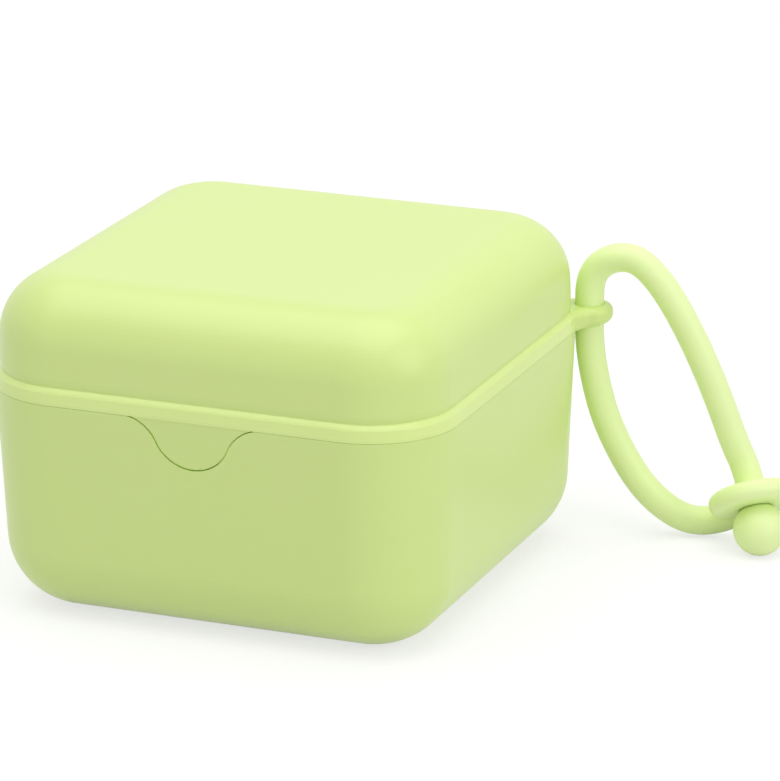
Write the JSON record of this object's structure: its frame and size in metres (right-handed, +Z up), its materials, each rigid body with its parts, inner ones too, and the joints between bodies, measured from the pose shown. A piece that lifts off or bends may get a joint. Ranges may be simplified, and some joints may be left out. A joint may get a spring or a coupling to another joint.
{
  "type": "pacifier sterilizer case",
  "caption": "Square rounded travel case with a hinged lid, thumb tab, lift-out drain rack inside and a soft cord strap that fastens with a ball through an eyelet.",
  "frame": {"origin": "on the resting surface, under the middle of the square case", "axes": "+Z up, -Y to the front with the thumb tab, +X to the side with the strap's lug"},
  "size_m": [0.1303, 0.0947, 0.0635],
  "materials": {
    "case_body": "soft matte moulded polypropylene, pistachio green",
    "pin": "moulded acetal rod, same green",
    "seal": "translucent food-grade silicone",
    "rack": "moulded polypropylene, off-white",
    "strap": "soft matte silicone, pistachio green"
  },
  "bodies": {
    "base": {"base_shell": "case_body", "hinge_pin": "pin", "strap_cord": "strap", "strap_eyelet": "strap", "strap_ball": "strap"},
    "lid": {"lid_shell": "case_body", "rim_seal": "seal"},
    "rack": {"drain_rack": "rack"}
  },
  "joints": [
    {"name": "lid_hinge", "type": "hinge", "parent": "base", "child": "lid", "pos_m": [0, 0.0475, 0.0438], "axis": [-1, 0, 0], "range_deg": [0, 105]},
    {"name": "rack_lift", "type": "slide", "parent": "base", "child": "rack", "axis": [0, 0, -1], "range_m": [-0.025, 0]}
  ]
}
